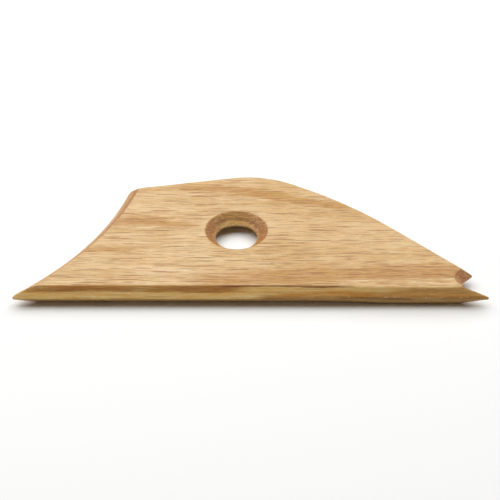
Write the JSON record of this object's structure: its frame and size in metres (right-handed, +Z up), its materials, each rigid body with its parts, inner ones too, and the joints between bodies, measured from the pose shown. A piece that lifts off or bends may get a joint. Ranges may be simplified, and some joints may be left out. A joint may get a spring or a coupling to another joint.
{
  "type": "pottery rib",
  "caption": "Flat oak hand tool for shaping clay on the wheel, with a straight working edge, a hollow end, a rounded back, a small notch beside a spike, bevelled edges and a finger hole.",
  "frame": {"origin": "middle of the outline's box, on the underside that lies on the table", "axes": "+X along the length from the hollow end to the spike, +Y from the straight working edge to the peak of the back, +Z up through the board"},
  "size_m": [0.178, 0.0767, 0.008],
  "materials": {
    "oak": "satin, sanded and oiled"
  },
  "bodies": {
    "root": {"rib": "oak"}
  },
  "joints": []
}
